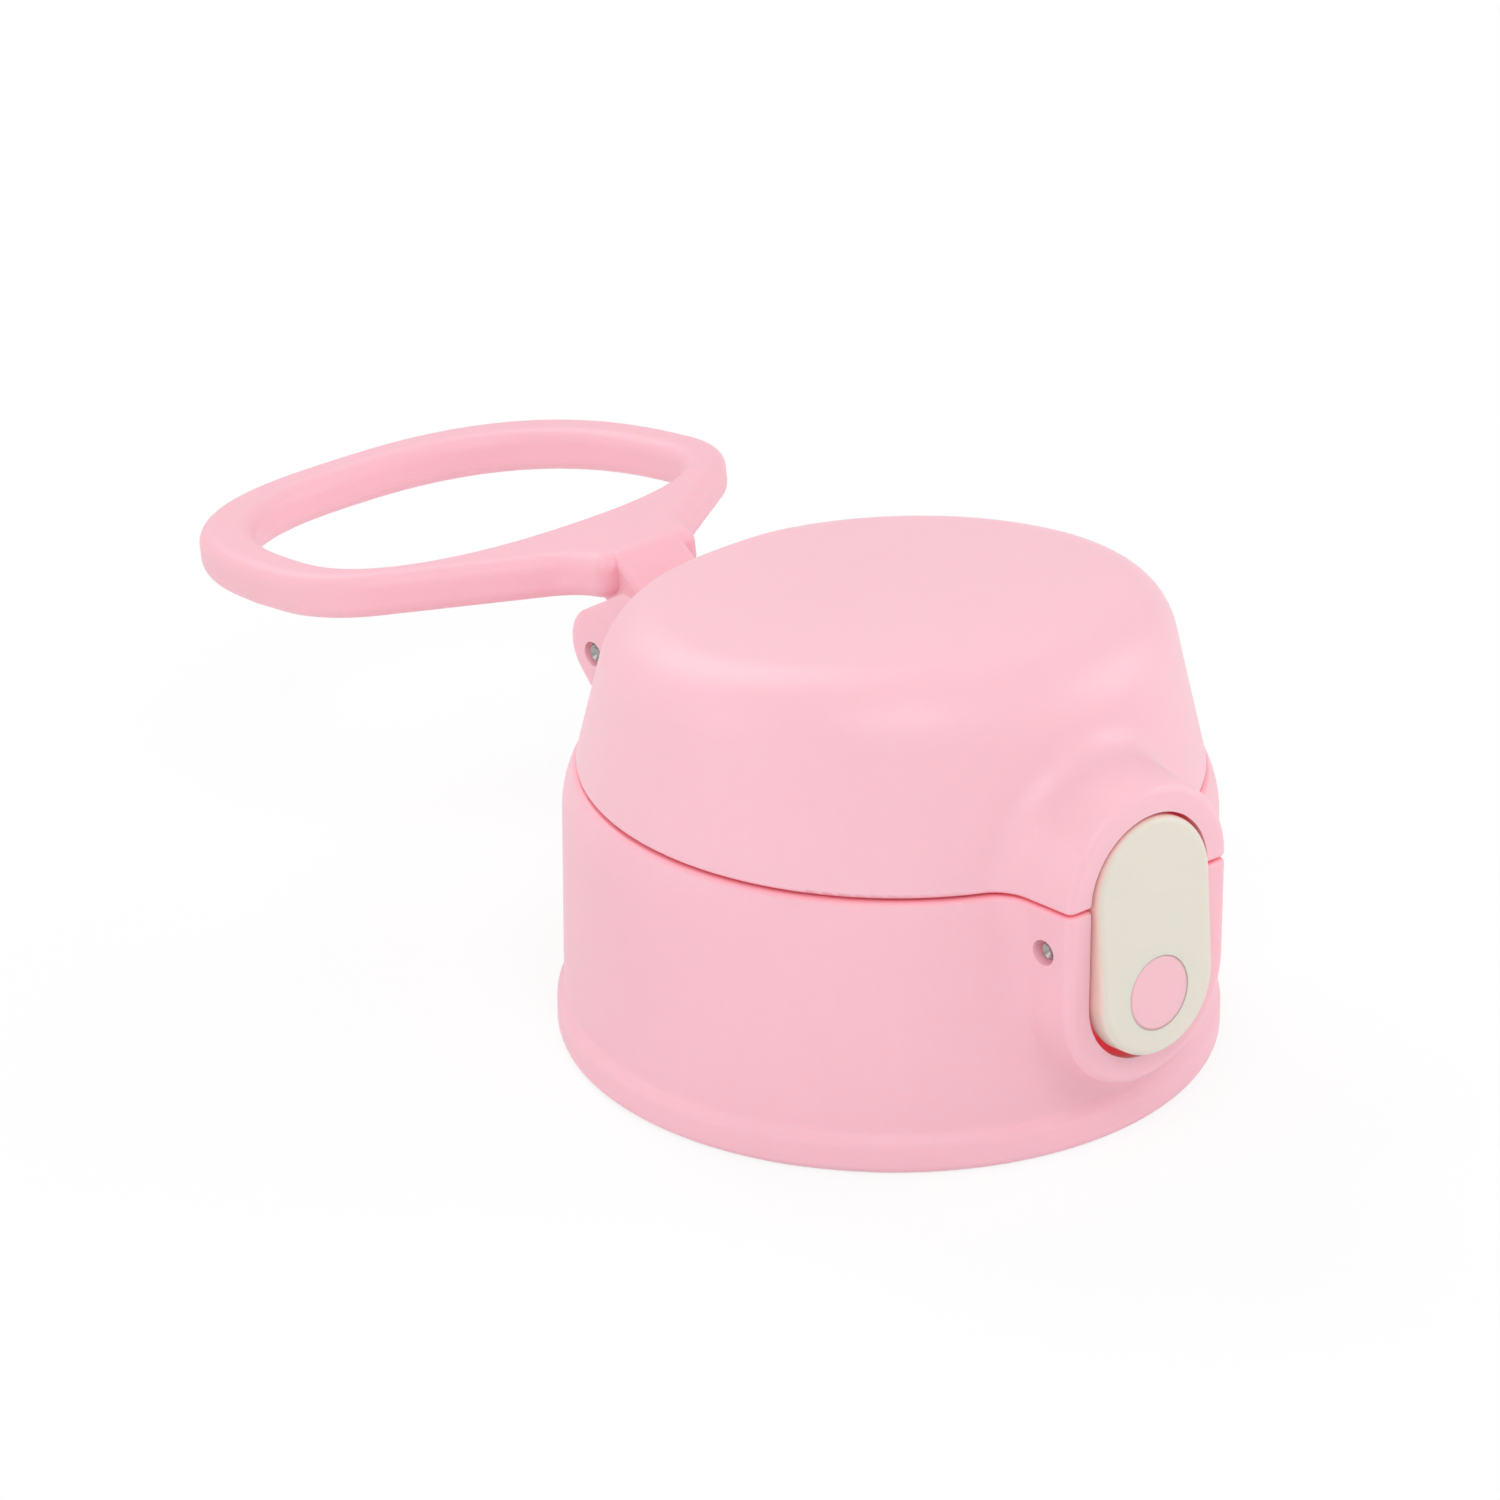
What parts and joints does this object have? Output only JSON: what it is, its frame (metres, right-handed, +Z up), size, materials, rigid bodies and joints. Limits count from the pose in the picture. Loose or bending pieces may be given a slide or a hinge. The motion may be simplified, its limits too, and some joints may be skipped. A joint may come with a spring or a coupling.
{
  "type": "straw bottle cap",
  "caption": "Screw-on drinking cap with a hinged domed lid, a rocker release button, a soft straw spout under the lid and a swinging carry loop at the hinge.",
  "frame": {"origin": "centre of the rim the cap stands on, on the bottle neck's axis", "axes": "+Z up along the bottle neck's axis, -Y to the release button, +Y to the hinge and carry loop"},
  "size_m": [0.066, 0.13, 0.0483],
  "materials": {
    "collar_plastic": "satin moulded pink plastic",
    "lid_plastic": "satin moulded pink plastic",
    "loop_plastic": "satin moulded pink plastic",
    "button_plastic": "satin moulded cream plastic",
    "dot_plastic": "satin moulded pink plastic",
    "insert_plastic": "satin off-white food plastic",
    "silicone": "soft translucent white silicone",
    "spout_silicone": "soft translucent white silicone",
    "pin_steel": "drawn stainless wire",
    "spring_steel": "drawn stainless wire"
  },
  "bodies": {
    "collar": {"collar_shell": "collar_plastic", "screw_insert": "insert_plastic", "neck_gasket": "silicone", "mouthpiece": "spout_silicone", "vent_valve": "silicone", "hinge_pin": "pin_steel", "button_pin": "pin_steel", "lid_spring": "spring_steel", "button_spring": "spring_steel"},
    "lid": {"lid_shell": "lid_plastic", "lid_liner": "insert_plastic"},
    "loop": {"carry_loop": "loop_plastic"},
    "button": {"release_button": "button_plastic", "button_dot": "dot_plastic"}
  },
  "joints": [
    {"name": "lid_hinge", "type": "hinge", "parent": "collar", "child": "lid", "pos_m": [0, 0.032, 0.032], "axis": [-1, 0, 0], "range_deg": [0, 95]},
    {"name": "loop_swing", "type": "hinge", "parent": "collar", "child": "loop", "pos_m": [0, 0.032, 0.032], "axis": [1, 0, 0], "range_deg": [-80, 0]},
    {"name": "button_rock", "type": "hinge", "parent": "collar", "child": "button", "pos_m": [0, -0.0336, 0.0237], "axis": [1, 0, 0], "range_deg": [0, 8], "stiffness_Nm_per_rad": 0.2, "deforming": ["button_spring"]}
  ]
}
